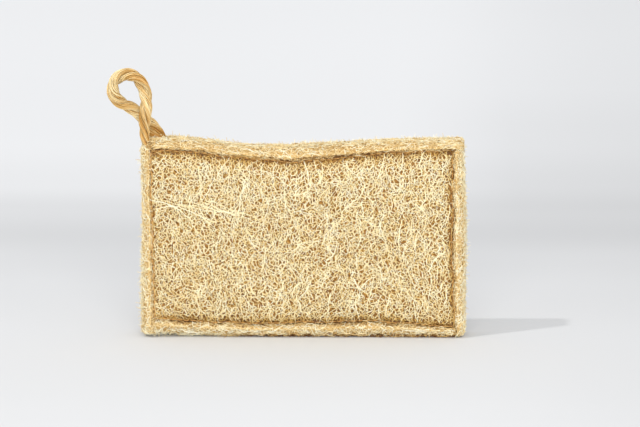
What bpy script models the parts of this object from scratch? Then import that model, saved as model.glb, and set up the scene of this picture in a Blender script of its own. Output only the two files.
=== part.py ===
"""A rectangular scrubbing pad of natural loofah, standing on its long edge, with a twisted hanging loop.

Two pressed loofah mats lie back to back. Four strips of thinner loofah are folded round their edges, and a
lockstitch seam, a needle thread in front and a bobbin thread behind, runs in the groove along the strips. A
two-ply cord is sewn into the top left corner. Every loofah face is a raised net: a Voronoi pattern of ridges
with a pit in each cell, a little larger than the real net.

Metres, +X to the right, +Y to the back, +Z up. The origin is the middle of the flat underside.
"""

import math
import random

import bmesh
import bpy
from mathutils import Vector, geometry

MM = 0.001
GAP = 0.3 * MM  # clearance between pieces that touch

# The pad's outline, seen from the front
PAD_WIDTH = 144.4 * MM
PAD_HEIGHT = 89.5 * MM  # at the left corner
TOP_SAG = 3.9 * MM  # how far the top edge hangs below its left corner
SAG_X = -20 * MM  # where it hangs lowest
SAG_LEFT = 22 * MM  # how far the sag spreads to either side
SAG_RIGHT = 48 * MM
RIGHT_DROP = 0.5 * MM  # how much lower the right half stands

# The edge strips
RIM_WIDTH = 6.0 * MM  # how far a strip reaches in over each face
RIM_THICKNESS = 18 * MM
STRIP_THICKNESS = 2.6 * MM
RIM_RADIUS = 4.5 * MM  # round the pad's edge
LIP_RADIUS = 1.2 * MM  # where the strip turns down into the groove
LIP_DEPTH = 1.2 * MM  # the strip's inner edge, sunk under the mat's face until it is cut back
CORNER_RADIUS = 3 * MM
TOP_START = 3.4 * MM  # the top strip leaves the left corner to the loop's front leg
LEFT_RISE = 3.4 * MM  # how far the left strip climbs up past the top one's end

# The mats
PAD_THICKNESS = 24 * MM
GROOVE_WIDTH = 1.5 * MM
SHOULDER = 13 * MM  # how far in from the groove a mat reaches its full thickness
EDGE_HALF = RIM_THICKNESS / 2 - STRIP_THICKNESS - GAP  # half the pressed edge of the two mats
NET_INSET = RIM_WIDTH + GROOVE_WIDTH
MAT_INSET = STRIP_THICKNESS + GAP

# The raised net: the spacing of its cells across and up, and the depth of their pits
MAT_CELL = (5.4 * MM, 6.3 * MM)
MAT_PIT = 1.7 * MM
MAT_FLOOR = 0.5  # the pit's flat floor, as a share of its cell's size
STRIP_CELL = (5.8 * MM, 3.7 * MM)
STRIP_PIT = 1.0 * MM
JITTER = 0.38  # how far a cell's centre strays, as a share of the spacing
SHORTEST_RIDGE = 0.7 * MM

# The seam
THREAD_RADIUS = 0.4 * MM
SEAM_INSET = RIM_WIDTH + GROOVE_WIDTH / 2
SEAM_CORNER = 2 * MM
SEAM_STEP = 12 * MM
THREAD_SIDES = 6

# The hanging loop: its centreline from the left leg's end in the seam, up round the eye and back down
LOOP_ROUTE = [
    (-66.8, -3.4, 79.5),
    (-68.6, -4.8, 84.5),
    (-70.5, -5.4, 89.0),
    (-70.9, -4.8, 93.5),
    (-70.8, -3.9, 98.0),
    (-70.3, -3.2, 102.6),
    (-70.2, -2.6, 107.0),
    (-71.3, -1.7, 111.8),
    (-74.4, -0.7, 116.2),
    (-78.8, 0.2, 117.7),
    (-83.0, 0.9, 116.2),
    (-85.3, 1.4, 112.6),
    (-85.0, 1.9, 108.1),
    (-81.8, 2.5, 104.5),
    (-77.8, 3.0, 102.4),
    (-74.0, 3.3, 99.6),
    (-70.4, 3.2, 96.3),
    (-67.9, 2.7, 93.2),
    (-65.6, 2.2, 90.0),
    (-63.5, 2.0, 87.0),
    (-61.0, 2.0, 81.0),
]
LOOP_PITCH = 24 * MM  # one full turn of the twist
LOOP_PHASE = math.radians(60)
PLY_HALF_DEPTH = 1.35 * MM  # towards the other ply
PLY_HALF_WIDTH = 2.0 * MM
PLY_SIDES = 8
LOOP_STEPS = 60
LEG_INSIDE = 9 * MM  # the length of each leg that is pressed between the mats
LEG_PRESSED = 0.6  # its thickness there, as a share of the rest
SOCKET_SIDES = 8

LOOFAH = (0.80, 0.62, 0.34)
LOOFAH_EDGE = (0.82, 0.65, 0.38)
THREAD = (0.86, 0.76, 0.56)
STRAW = (0.76, 0.52, 0.22)


def clear_scene():
    for obj in list(bpy.data.objects):
        bpy.data.objects.remove(obj)


def material(name, colour, roughness):
    made = bpy.data.materials.new(name)
    made.use_nodes = True
    shader = made.node_tree.nodes["Principled BSDF"]
    shader.inputs["Base Color"].default_value = (*colour, 1)
    shader.inputs["Roughness"].default_value = roughness
    shader.inputs["Metallic"].default_value = 0
    return made


def new_object(name, bm, finish=None):
    """One object from a bmesh, with its faces turned outwards."""
    bmesh.ops.recalc_face_normals(bm, faces=bm.faces)
    mesh = bpy.data.meshes.new(name)
    bm.to_mesh(mesh)
    bm.free()
    obj = bpy.data.objects.new(name, mesh)
    bpy.context.scene.collection.objects.link(obj)
    if finish:
        mesh.materials.append(finish)
    else:
        obj.hide_render = True
        obj.display_type = "WIRE"
    return obj


def cut(obj, cutter):
    boolean = obj.modifiers.new("cut_by_" + cutter.name, "BOOLEAN")
    boolean.operation = "DIFFERENCE"
    boolean.solver = "EXACT"
    boolean.object = cutter


def top_edge(x):
    """The height of the pad's sagging top edge."""
    spread = SAG_LEFT if x < SAG_X else SAG_RIGHT
    drop = RIGHT_DROP * min(max((x + 10 * MM) / (40 * MM), 0), 1)
    return PAD_HEIGHT - TOP_SAG * math.exp(-((x - SAG_X) / spread) ** 2) - drop


# The net pattern

def net_sites(width, height, cell, rng):
    """Cell centres on a brick pattern, each moved a little at random."""
    columns = round(width / cell[0])
    rows = round(height / cell[1])
    across = width / columns
    up = height / rows
    sites = []
    for row in range(rows):
        for column in range(columns):
            shift = 0.25 if row % 2 else -0.25
            u = (column + 0.5 + shift * 0.9 + rng.uniform(-JITTER, JITTER)) * across
            v = (row + 0.5 + rng.uniform(-JITTER, JITTER)) * up
            sites.append((min(max(u, 0.3 * across), width - 0.3 * across), v))
    return sites


def circumcentre(a, b, c):
    d = 2 * (a[0] * (b[1] - c[1]) + b[0] * (c[1] - a[1]) + c[0] * (a[1] - b[1]))
    aa = a[0] ** 2 + a[1] ** 2
    bb = b[0] ** 2 + b[1] ** 2
    cc = c[0] ** 2 + c[1] ** 2
    u = (aa * (b[1] - c[1]) + bb * (c[1] - a[1]) + cc * (a[1] - b[1])) / d
    v = (aa * (c[0] - b[0]) + bb * (a[0] - c[0]) + cc * (b[0] - a[0])) / d
    return u, v


def net_cells(width, height, cell, seed):
    """A Voronoi pattern that fills a rectangle: its points, and each cell as a ring of their numbers.

    The centres are mirrored in all four sides, which lays ridges exactly along them.
    """
    sites = net_sites(width, height, cell, random.Random(seed))
    mirrored = [(-u, v) for u, v in sites] + [(2 * width - u, v) for u, v in sites]
    spread = sites + mirrored
    spread += [(u, -v) for u, v in sites + mirrored] + [(u, 2 * height - v) for u, v in sites + mirrored]
    seen = geometry.delaunay_2d_cdt([Vector(s) for s in spread], [], [], 0, 1e-9)
    points = [tuple(p) for p in seen[0]]
    number = {source: i for i, sources in enumerate(seen[3]) for source in sources}
    around = {}
    for triangle in seen[2]:
        centre = circumcentre(*(points[i] for i in triangle))
        for i in triangle:
            around.setdefault(i, []).append(centre)
    ridge_points, rings = [], []
    where = {}
    for source, (u, v) in enumerate(sites):
        corners = sorted(around[number[source]], key=lambda p: math.atan2(p[1] - v, p[0] - u))
        ring = []
        for corner in corners:
            key = (round(corner[0] / (0.01 * MM)), round(corner[1] / (0.01 * MM)))
            if key not in where:
                where[key] = len(ridge_points)
                ridge_points.append((min(max(corner[0], 0), width), min(max(corner[1], 0), height)))
            if where[key] not in ring:
                ring.append(where[key])
        rings.append(ring)
    return join_close_points(ridge_points, rings, width, height)


def join_close_points(points, rings, width, height):
    """Draws the two ends of each very short ridge together, and drops the cells that close up."""
    near = 0.02 * MM

    def sides(p):
        return (abs(p[0]) < near, abs(p[0] - width) < near, abs(p[1]) < near, abs(p[1] - height) < near)

    stands_for = list(range(len(points)))

    def root(i):
        while stands_for[i] != i:
            i = stands_for[i]
        return i

    for ring in rings:
        for a, b in zip(ring, ring[1:] + ring[:1]):
            a, b = root(a), root(b)
            if a == b or math.dist(points[a], points[b]) > SHORTEST_RIDGE:
                continue
            keep, drop = (a, b) if sum(sides(points[a])) >= sum(sides(points[b])) else (b, a)
            if sum(sides(points[drop])) and sides(points[keep]) != sides(points[drop]):
                if not all(k for k, d in zip(sides(points[keep]), sides(points[drop])) if d):
                    continue
            stands_for[drop] = keep
    joined = []
    for ring in rings:
        short = []
        for i in map(root, ring):
            if i not in short:
                short.append(i)
        if len(short) > 2:
            joined.append(short)
    return points, joined


def add_net(bm, width, height, cell, seed, floor, place):
    """Adds the net to bm, and returns its four border rows of vertices: low, right, high and left.

    place(u, v, pit) gives the point in space: pit is 0 on a ridge and 1 at the bottom of a cell. With no flat
    floor a pit ends in a point.
    """
    points, rings = net_cells(width, height, cell, seed)
    made = {}
    for ring in rings:
        corners = []
        for i in ring:
            if i not in made:
                made[i] = bm.verts.new(place(*points[i], 0))
            corners.append(made[i])
        u = sum(points[i][0] for i in ring) / len(ring)
        v = sum(points[i][1] for i in ring) / len(ring)
        if floor:
            bottom = [
                bm.verts.new(place(u + floor * (points[i][0] - u), v + floor * (points[i][1] - v), 1))
                for i in ring
            ]
            bm.faces.new(bottom)
        else:
            bottom = [bm.verts.new(place(u, v, 1))] * len(ring)
        for k in range(len(ring)):
            j = (k + 1) % len(ring)
            bm.faces.new(dict.fromkeys((corners[k], corners[j], bottom[j], bottom[k])))
    near = 0.02 * MM
    rows = []
    for axis, value in ((1, 0), (0, width), (1, height), (0, 0)):
        found = [i for i in made if abs(points[i][axis] - value) < near]
        found.sort(key=lambda i: points[i][1 - axis])
        rows.append([(points[i][1 - axis], made[i]) for i in found])
    return rows


# The mats

def mat_envelope(inset, half_depth, name):
    """A plain slab of the mats' pressed edge, grown by the clearance, to cut the strips open."""
    bm = bmesh.new()
    steps = 24
    left = -PAD_WIDTH / 2 + inset
    outline = [(left, inset), (-left, inset)]
    for i in range(steps + 1):
        x = -left + 2 * left * i / steps
        outline.append((x, top_edge(x) - inset))
    front = [bm.verts.new((x, -half_depth, z)) for x, z in outline]
    back = [bm.verts.new((x, half_depth, z)) for x, z in outline]
    bm.faces.new(front)
    bm.faces.new(back)
    for i in range(len(front)):
        j = (i + 1) % len(front)
        bm.faces.new((front[i], front[j], back[j], back[i]))
    return new_object(name, bm)


def build_mat(name, side, seed, finish):
    """One loofah mat. side is -1 for the front and 1 for the back."""
    width = PAD_WIDTH - 2 * NET_INSET
    height = PAD_HEIGHT - 2 * NET_INSET

    def outline(u, v, inset):
        """The point a share (u, v) of the way across and up an outline that lies inset from the pad's."""
        x = (u - 0.5) * (PAD_WIDTH - 2 * inset)
        return x, inset + v * (top_edge(x) - 2 * inset)

    def place(u, v, pit):
        x, z = outline(u / width, v / height, NET_INSET)
        inward = min(u, width - u, v, height - v)
        share = min(inward / SHOULDER, 1)
        rise = (PAD_THICKNESS / 2 - EDGE_HALF) * math.sqrt(1 - (1 - share) ** 2)
        return x, side * (EDGE_HALF + rise - pit * MAT_PIT * min(1, 0.35 + share)), z

    bm = bmesh.new()
    low, right, high, left = add_net(bm, width, height, MAT_CELL, seed, MAT_FLOOR, place)
    border = [(u / width, 0, v) for u, v in low[:-1]] + [(1, t / height, v) for t, v in right[:-1]]
    border += [(u / width, 1, v) for u, v in reversed(high[1:])]
    border += [(0, t / height, v) for t, v in reversed(left[1:])]
    face_ring = [vert for _, _, vert in border]
    outer_ring, back_ring = [], []
    for u, v, _ in border:
        x, z = outline(u, v, MAT_INSET)
        outer_ring.append(bm.verts.new((x, side * EDGE_HALF, z)))
        back_ring.append(bm.verts.new((x, side * GAP / 2, z)))
    for inner, outer in ((face_ring, outer_ring), (outer_ring, back_ring)):
        for i in range(len(inner)):
            j = (i + 1) % len(inner)
            bm.faces.new((inner[i], inner[j], outer[j], outer[i]))
    bm.faces.new(back_ring)
    return new_object(name, bm, finish)


# The edge strips

def rim_profile():
    """The strip's outline across the pad's edge, as (distance in from the edge, depth) points, and its length."""
    half = RIM_THICKNESS / 2
    points = [(RIM_WIDTH, -EDGE_HALF + LIP_DEPTH)]
    for i in range(4):
        angle = math.radians(30 * i)
        points.append((
            RIM_WIDTH - LIP_RADIUS + LIP_RADIUS * math.cos(angle),
            -half + LIP_RADIUS - LIP_RADIUS * math.sin(angle),
        ))
    for i in range(7):
        angle = math.radians(15 * i)
        points.append((
            RIM_RADIUS - RIM_RADIUS * math.sin(angle),
            -half + RIM_RADIUS - RIM_RADIUS * math.cos(angle),
        ))
    points += [(d, -y) for d, y in reversed(points)]
    return points, sum(math.dist(a, b) for a, b in zip(points, points[1:]))


def along_profile(points, t):
    """The point, and the direction into the strip, a distance t along its outline."""
    for a, b in zip(points, points[1:]):
        length = math.dist(a, b)
        if t <= length or b is points[-1]:
            share = min(t / length, 1)
            normal = ((b[1] - a[1]) / length, -(b[0] - a[0]) / length)
            return (a[0] + (b[0] - a[0]) * share, a[1] + (b[1] - a[1]) * share), normal
        t -= length


def zip_rows(bm, row_a, row_b):
    """Joins two rows of vertices with triangles. Each row is a list of (place along the row, vertex)."""
    i = j = 0
    while i < len(row_a) - 1 or j < len(row_b) - 1:
        next_a = row_a[i + 1][0] if i < len(row_a) - 1 else math.inf
        next_b = row_b[j + 1][0] if j < len(row_b) - 1 else math.inf
        if next_a <= next_b:
            bm.faces.new((row_a[i][1], row_a[i + 1][1], row_b[j][1]))
            i += 1
        else:
            bm.faces.new((row_a[i][1], row_b[j][1], row_b[j + 1][1]))
            j += 1


def build_strip(name, start, end, rounded, lay, seed, finish, flat=False):
    """One edge strip, as a solid bar that the mats' edge is then cut from.

    start and end are places along the pad's side, rounded says which of the two ends is a corner of the pad,
    and lay(s, inward, y) gives the point in space. A flat strip has no pits on the side that is stood on.
    """
    outline, around = rim_profile()

    def place(s, t, pit):
        (inward, y), (normal_in, normal_y) = along_profile(outline, t)
        on_edge = inward < 0.3 * MM
        depth = pit * STRIP_PIT * (0 if flat and on_edge else 1)
        inward += normal_in * depth
        y += normal_y * depth
        near_end = min([s] * rounded[0] + [end - start - s] * rounded[1] + [CORNER_RADIUS])
        pinch = CORNER_RADIUS - math.sqrt(CORNER_RADIUS ** 2 - (CORNER_RADIUS - near_end) ** 2)
        if not (flat and on_edge):
            inward = RIM_WIDTH - (RIM_WIDTH - inward) * (1 - pinch / RIM_WIDTH)
        return lay(start + s, inward, y * (1 - 0.8 * pinch / (RIM_THICKNESS / 2)))

    bm = bmesh.new()
    low, right, high, left = add_net(bm, end - start, around, STRIP_CELL, seed, 0, place)
    zip_rows(bm, low, high)
    bm.faces.new([vert for _, vert in left])
    bm.faces.new([vert for _, vert in right])
    return new_object(name, bm, finish)


def corner_notch(x, z):
    """The room above z and to the right of x that the top strip's end takes from the left strip."""
    bm = bmesh.new()
    bmesh.ops.create_cube(bm, size=1)
    size = Vector((20 * MM, 40 * MM, 20 * MM))
    for vert in bm.verts:
        vert.co = Vector(a * b for a, b in zip(vert.co, size)) + Vector((x + size.x / 2, 0, z + size.z / 2))
    return new_object("corner_notch", bm)


def build_strips(finish):
    """The bottom strip laps the left one's foot, the right one laps the bottom one, and the top one laps the
    right one. In the left corner the left strip climbs up past the end of the top one."""
    side = PAD_WIDTH / 2
    inner = RIM_WIDTH + GAP
    top_at_side = top_edge(side) - inner
    top_at_left = top_edge(-side) - inner + LEFT_RISE
    strips = [
        build_strip(
            "edge_strip_top", -side + TOP_START, side, (1, 1),
            lambda s, d, y: (s, y, top_edge(s) - d), 11, finish,
        ),
        build_strip(
            "edge_strip_bottom", -side, side - inner, (1, 0),
            lambda s, d, y: (s, y, d), 12, finish, flat=True,
        ),
        build_strip(
            "edge_strip_right", 0, top_at_side, (1, 0),
            lambda s, d, y: (side - d, y, s * (top_edge(side - d) - inner) / top_at_side), 13, finish,
        ),
        build_strip(
            "edge_strip_left", inner, top_at_left, (0, 1),
            lambda s, d, y: (-side + d, y, s), 14, finish,
        ),
    ]
    cut(strips[-1], corner_notch(-side + TOP_START - GAP, top_edge(-side + RIM_WIDTH) - inner))
    return strips


# Tubes, for the seam threads and the plies of the loop

def add_tube(bm, rings, closed):
    """Skins a list of rings of points."""
    rows = [[bm.verts.new(p) for p in ring] for ring in rings]
    pairs = list(zip(rows, rows[1:])) + ([(rows[-1], rows[0])] if closed else [])
    for a, b in pairs:
        for i in range(len(a)):
            j = (i + 1) % len(a)
            bm.faces.new((a[i], a[j], b[j], b[i]))
    if not closed:
        bm.faces.new(rows[0])
        bm.faces.new(rows[-1])


def seam_path():
    """The seam's line as (x, z) points, a rectangle with rounded corners that follows the sagging top."""
    half = PAD_WIDTH / 2 - SEAM_INSET
    low, r = SEAM_INSET, SEAM_CORNER
    top = top_edge(half) - SEAM_INSET

    def corner(x, z, first):
        angles = [math.radians(first + 30 * i) for i in range(4)]
        return [(x + r * math.cos(a), z + r * math.sin(a)) for a in angles]

    def between(length):
        steps = max(1, round(length / SEAM_STEP))
        return [(i + 1) / (steps + 1) for i in range(steps)]

    path = corner(-half + r, low + r, 180)
    path += [(-half + r + t * 2 * (half - r), low) for t in between(2 * half)]
    path += corner(half - r, low + r, 270)
    path += [(half, low + r + t * (top - low - 2 * r)) for t in between(top - low)]
    path += corner(half - r, top - r, 0)
    for t in between(2 * half):
        x = half - r - t * 2 * (half - r)
        path.append((x, top_edge(x) - SEAM_INSET))
    path += corner(-half + r, top_edge(-half) - SEAM_INSET - r, 90)
    path += [(-half, top - r - t * (top - low - 2 * r)) for t in between(top - low)]
    return path


def build_thread(name, side, finish):
    """One thread of the lockstitch, drawn down into the groove of its face."""
    path = seam_path()
    depth = side * (EDGE_HALF + GAP + THREAD_RADIUS)
    rings = []
    for i, (x, z) in enumerate(path):
        before, after = path[i - 1], path[(i + 1) % len(path)]
        run = Vector((after[0] - before[0], 0, after[1] - before[1])).normalized()
        out = Vector((0, side, 0))
        across = run.cross(out)
        ring = []
        for k in range(THREAD_SIDES):
            angle = math.radians(360 * (k + 0.5) / THREAD_SIDES)
            offset = (across * math.cos(angle) + out * math.sin(angle)) * THREAD_RADIUS
            ring.append(Vector((x, depth, z)) + offset)
        rings.append(ring)
    bm = bmesh.new()
    add_tube(bm, rings, closed=True)
    return new_object(name, bm, finish)


def smooth_route(points, steps):
    """Points evenly spaced along a Catmull-Rom curve through the route, with the length up to each."""
    ends = [points[0] * 2 - points[1]] + points + [points[-1] * 2 - points[-2]]
    fine = []
    for a, b, c, d in zip(ends, ends[1:], ends[2:], ends[3:]):
        for i in range(20):
            t = i / 20
            fine.append((
                b * 2 + (c - a) * t + (a * 2 - b * 5 + c * 4 - d) * t ** 2 + (b * 3 - a - c * 3 + d) * t ** 3
            ) / 2)
    fine.append(points[-1])
    lengths = [0]
    for a, b in zip(fine, fine[1:]):
        lengths.append(lengths[-1] + (b - a).length)
    spaced = []
    i = 0
    for step in range(steps + 1):
        at = lengths[-1] * step / steps
        while lengths[i + 1] < at and i < len(fine) - 2:
            i += 1
        share = (at - lengths[i]) / (lengths[i + 1] - lengths[i])
        spaced.append((fine[i].lerp(fine[i + 1], min(share, 1)), at))
    return spaced


def loop_rings(centre_offset, half_depth, half_width, sides, clearance=0):
    """Rings of points along the loop, twisted left-handed about its centreline.

    The legs are pressed thinner where they lie between the mats.
    """
    route = smooth_route([Vector(p) * MM for p in LOOP_ROUTE], LOOP_STEPS)
    length = route[-1][1]
    rings = []
    for i, (point, at) in enumerate(route):
        before = route[max(i - 1, 0)][0]
        after = route[min(i + 1, LOOP_STEPS)][0]
        run = (after - before).normalized()
        out = (Vector((0, 1, 0)) - run * run.y).normalized()
        across = run.cross(out)
        twist = LOOP_PHASE - 2 * math.pi * at / LOOP_PITCH
        to_other = out * math.cos(twist) + across * math.sin(twist)
        beside = run.cross(to_other)
        share = min(min(at, length - at) / LEG_INSIDE, 1)
        pressed = LEG_PRESSED + (1 - LEG_PRESSED) * share ** 2 * (3 - 2 * share)
        centre = point + to_other * centre_offset * pressed
        ring = []
        for k in range(sides):
            angle = 2 * math.pi * (k + 0.5) / sides - twist
            depth = (half_depth * pressed + clearance) * math.cos(angle)
            width = (half_width * pressed + clearance) * math.sin(angle)
            ring.append(centre + to_other * depth + beside * width)
        rings.append(ring)
    return rings


def build_ply(name, side, finish):
    """One of the loop's two plies."""
    gap = GAP / 2 / LEG_PRESSED
    bm = bmesh.new()
    add_tube(bm, loop_rings(side * (PLY_HALF_DEPTH + gap), PLY_HALF_DEPTH, PLY_HALF_WIDTH, PLY_SIDES), False)
    return new_object(name, bm, finish)


def build_leg_sockets():
    """Cutters that follow the two pressed legs, with a clearance round them."""
    around = 2 * PLY_HALF_DEPTH + GAP / LEG_PRESSED
    rings = loop_rings(0, around, around, SOCKET_SIDES, GAP)
    count = 1 + round(LOOP_STEPS * 0.13)
    cutters = []
    for name, leg in (("left_leg_socket", rings[:count]), ("right_leg_socket", rings[-count:])):
        inner_end = leg[0] if name.startswith("left") else leg[-1]
        for point in inner_end:
            point.z -= GAP
        bm = bmesh.new()
        add_tube(bm, leg, False)
        cutters.append(new_object(name, bm))
    return cutters


def build():
    clear_scene()
    loofah = material("loofah_mat", LOOFAH, 0.85)
    edge = material("loofah_strip", LOOFAH_EDGE, 0.85)
    thread = material("seam_thread", THREAD, 0.7)
    straw = material("twisted_straw", STRAW, 0.6)
    mats = [build_mat("front_mat", -1, 21, loofah), build_mat("back_mat", 1, 22, loofah)]
    strips = build_strips(edge)
    envelope = mat_envelope(STRIP_THICKNESS, EDGE_HALF + GAP, "mats_edge")
    for strip in strips:
        cut(strip, envelope)
    for socket in build_leg_sockets():
        for piece in mats + [strips[0], strips[-1]]:
            cut(piece, socket)
    build_thread("needle_thread", -1, thread)
    build_thread("bobbin_thread", 1, thread)
    build_ply("loop_ply_a", -1, straw)
    build_ply("loop_ply_b", 1, straw)


build()
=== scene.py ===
import math

import bpy
import numpy as np
from mathutils import Matrix, Vector, geometry


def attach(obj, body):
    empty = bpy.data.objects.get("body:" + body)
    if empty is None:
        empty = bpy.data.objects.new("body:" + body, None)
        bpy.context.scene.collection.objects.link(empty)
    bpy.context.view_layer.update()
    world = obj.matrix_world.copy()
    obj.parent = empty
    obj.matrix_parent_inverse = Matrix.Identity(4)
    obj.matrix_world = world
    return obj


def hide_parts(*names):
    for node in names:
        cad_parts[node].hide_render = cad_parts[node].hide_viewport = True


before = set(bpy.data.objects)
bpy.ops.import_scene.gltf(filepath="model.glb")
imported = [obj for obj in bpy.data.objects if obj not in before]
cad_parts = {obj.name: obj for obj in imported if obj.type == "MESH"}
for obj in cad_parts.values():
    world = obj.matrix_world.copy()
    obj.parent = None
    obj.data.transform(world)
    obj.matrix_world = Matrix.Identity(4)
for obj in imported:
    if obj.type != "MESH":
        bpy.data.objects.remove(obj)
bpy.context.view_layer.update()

bpy.ops.object.select_all(action="DESELECT")

# A natural loofah scrubbing pad with a hanging loop, standing on its long edge.

# The studio, in metres: a long lens a little above the pad and a little to its right, so that the top edge
# shows and the right end comes a touch nearer. A soft key light from the front left, a fill and a pale room.
CAMERA_AZIMUTH = math.radians(2.0)
CAMERA_ELEVATION = math.radians(9.0)
CAMERA_ROLL = math.radians(-0.22)
CAMERA_DISTANCE = 1.8
SENSOR_WIDTH = 36  # in millimetres, as a lens is given
FRAME_WIDTH = 0.2864  # what the picture spans at the pad
AIM = Vector((0.0070, 0, 0.0550))
KEY_RUNS = Vector((0.455, 0.302, -0.838))
KEY_POWER = 0.74
FILL_PLACE = Vector((0.10, -1.65, 0.42))
FILL_AIM = Vector((0, 0, 0.05))
FILL_POWER = 26
ROOM_COLOUR = (0.96, 0.975, 1, 1)
ROOM_POWER = 0.86

away = Vector((
    math.sin(CAMERA_AZIMUTH) * math.cos(CAMERA_ELEVATION),
    -math.cos(CAMERA_AZIMUTH) * math.cos(CAMERA_ELEVATION),
    math.sin(CAMERA_ELEVATION),
))
turn = (-away).to_track_quat("-Z", "Y").to_matrix() @ Matrix.Rotation(CAMERA_ROLL, 3, "Z")
bpy.ops.object.camera_add(location=AIM + away * CAMERA_DISTANCE, rotation=turn.to_euler())
camera = bpy.context.object
camera.data.sensor_width = SENSOR_WIDTH
camera.data.lens = SENSOR_WIDTH * CAMERA_DISTANCE / FRAME_WIDTH
camera.data.clip_end = 60
bpy.context.scene.camera = camera
bpy.context.scene.view_settings.view_transform = "Standard"

bpy.ops.object.light_add(type="SUN", location=(-1, -1.2, 1.9))
key = bpy.context.object
key.name = "key"
key.data.angle = math.radians(2.5)
key.data.energy = KEY_POWER
key.rotation_euler = KEY_RUNS.to_track_quat("-Z", "Y").to_euler()

bpy.ops.object.light_add(type="AREA", location=FILL_PLACE)
fill = bpy.context.object
fill.name = "front_fill"
fill.data.shape = "DISK"
fill.data.size = 1.0
fill.data.energy = FILL_POWER
fill.rotation_euler = (FILL_AIM - FILL_PLACE).to_track_quat("-Z", "Y").to_euler()

room = bpy.data.worlds.new("pale_room")
bpy.context.scene.world = room
room.use_nodes = True
room.node_tree.nodes["Background"].inputs["Color"].default_value = ROOM_COLOUR
room.node_tree.nodes["Background"].inputs["Strength"].default_value = ROOM_POWER

# The paper that the pad stands on: one wide matt sheet. Its greys are painted shade: they change from front
# to back, with a painted shadow band, and from left to right, and to the right painted shade darkens it where
# a backdrop would begin to rise. Each stop is a place and its grey.
PAPER_RADIUS = 12
PAPER_FRONT, PAPER_BACK = -0.30, 1.20
PAPER_LEFT, PAPER_RIGHT = -0.20, 0.20
SHADE_FROM, SHADE_TO = 0.03, 0.10  # across here, along x, the painted shade of the right part fades in
PAPER_ALONG_Y = [
    (PAPER_FRONT, 0.662), (-0.15, 0.674), (0.0, 0.688), (0.12, 0.672), (0.20, 0.650), (0.275, 0.620),
    (0.36, 0.668), (0.45, 0.746), (0.62, 0.790), (PAPER_BACK, 0.812),
]
PAPER_ALONG_X = [(PAPER_LEFT, 0.995), (0.04, 1.0), (PAPER_RIGHT, 0.925)]
PAPER_PAINTED_SHADE = [
    (0.22, 1.0), (0.29, 0.965), (0.36, 0.93), (0.43, 0.893), (0.60, 0.915), (0.70, 0.925), (0.87, 0.965),
    (PAPER_BACK, 0.98),
]


def paper_material():
    """Pale matt paper, with painted shade in its greys."""
    made = bpy.data.materials.new("pale_paper")
    made.use_nodes = True
    nodes, links = made.node_tree.nodes, made.node_tree.links
    place = nodes.new("ShaderNodeTexCoord")
    split = nodes.new("ShaderNodeSeparateXYZ")
    links.new(place.outputs["Object"], split.inputs[0])

    def along(axis, low, high):
        """How far a point is from low to high along an axis, as a share."""
        span = nodes.new("ShaderNodeMapRange")
        span.inputs["From Min"].default_value = low
        span.inputs["From Max"].default_value = high
        links.new(split.outputs[axis], span.inputs["Value"])
        return span.outputs["Result"]

    def greys(share, low, high, stops, easing):
        """The greys of the stops, each at its place between low and high."""
        ramp = nodes.new("ShaderNodeValToRGB")
        ramp.color_ramp.interpolation = easing
        for i, (at, value) in enumerate(stops):
            stop = ramp.color_ramp.elements[i] if i < 2 else ramp.color_ramp.elements.new(1)
            stop.position = (at - low) / (high - low)
            stop.color = (value, value, value, 1)
        links.new(share, ramp.inputs["Fac"])
        return ramp.outputs["Color"]

    def multiplied(colour, by):
        """One colour times another, with the factor's socket."""
        mixed = nodes.new("ShaderNodeMix")
        mixed.data_type = "RGBA"
        mixed.blend_type = "MULTIPLY"
        mixed.inputs["Factor"].default_value = 1
        for source, socket in zip((colour, by), [s for s in mixed.inputs if s.type == "RGBA"]):
            links.new(source, socket)
        return [s for s in mixed.outputs if s.type == "RGBA"][0], mixed.inputs["Factor"]

    along_y = along("Y", PAPER_FRONT, PAPER_BACK)
    even, _ = multiplied(
        greys(along_y, PAPER_FRONT, PAPER_BACK, PAPER_ALONG_Y, "EASE"),
        greys(along("X", PAPER_LEFT, PAPER_RIGHT), PAPER_LEFT, PAPER_RIGHT, PAPER_ALONG_X, "EASE"),
    )
    # painted shade over the right part of the paper
    shaded_paper, how_shaded = multiplied(even, greys(along_y, PAPER_FRONT, PAPER_BACK, PAPER_PAINTED_SHADE, "LINEAR"))
    links.new(along("X", SHADE_FROM, SHADE_TO), how_shaded)
    shader = nodes["Principled BSDF"]
    links.new(shaded_paper, shader.inputs["Base Color"])
    shader.inputs["Roughness"].default_value = 0.9
    shader.inputs["Specular IOR Level"].default_value = 0.1
    return made


bpy.ops.mesh.primitive_circle_add(vertices=96, radius=PAPER_RADIUS, fill_type="NGON", location=(0, 0, 0))
floor = bpy.context.object
floor.name = "paper_floor"
floor.data.materials.append(paper_material())

# The front and back mats: two sheets of loofah, the dried fibre net of the gourd, pressed flat and laid
# back to back. Each is a pillow of net over net: paler fibres on top, and deeper ones darkened golden and
# brown as painted shade, with long veins that wander over them and branch. The seam draws the edge of both
# down into a groove.
MM = 0.001  # sizes are in millimetres from here on, and MM turns them to metres where a mesh is made
PAD_WIDTH = 144.4
PAD_HEIGHT = 89.5
TOP_SAG = 3.9
SAG_X = -20
SAG_LEFT = 22  # how far the sag spreads to either side
SAG_RIGHT = 48
RIGHT_DROP = 0.5  # and how much lower the right half stands
RIM_HALF = 9.0
GROOVE_HALF = 6.9
PAD_HALF = 12.0
SHOULDER = 13  # how far in from the groove a mat reaches its full thickness
MAT_INSET = 2.9
MAT_LAP = 0.6  # how far the mats reach over the left strip's lip
LEAN = 0.010  # the sewn pad stands a little out of square
LEAN_LEVEL = 45  # the height at which nothing moves for it
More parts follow.
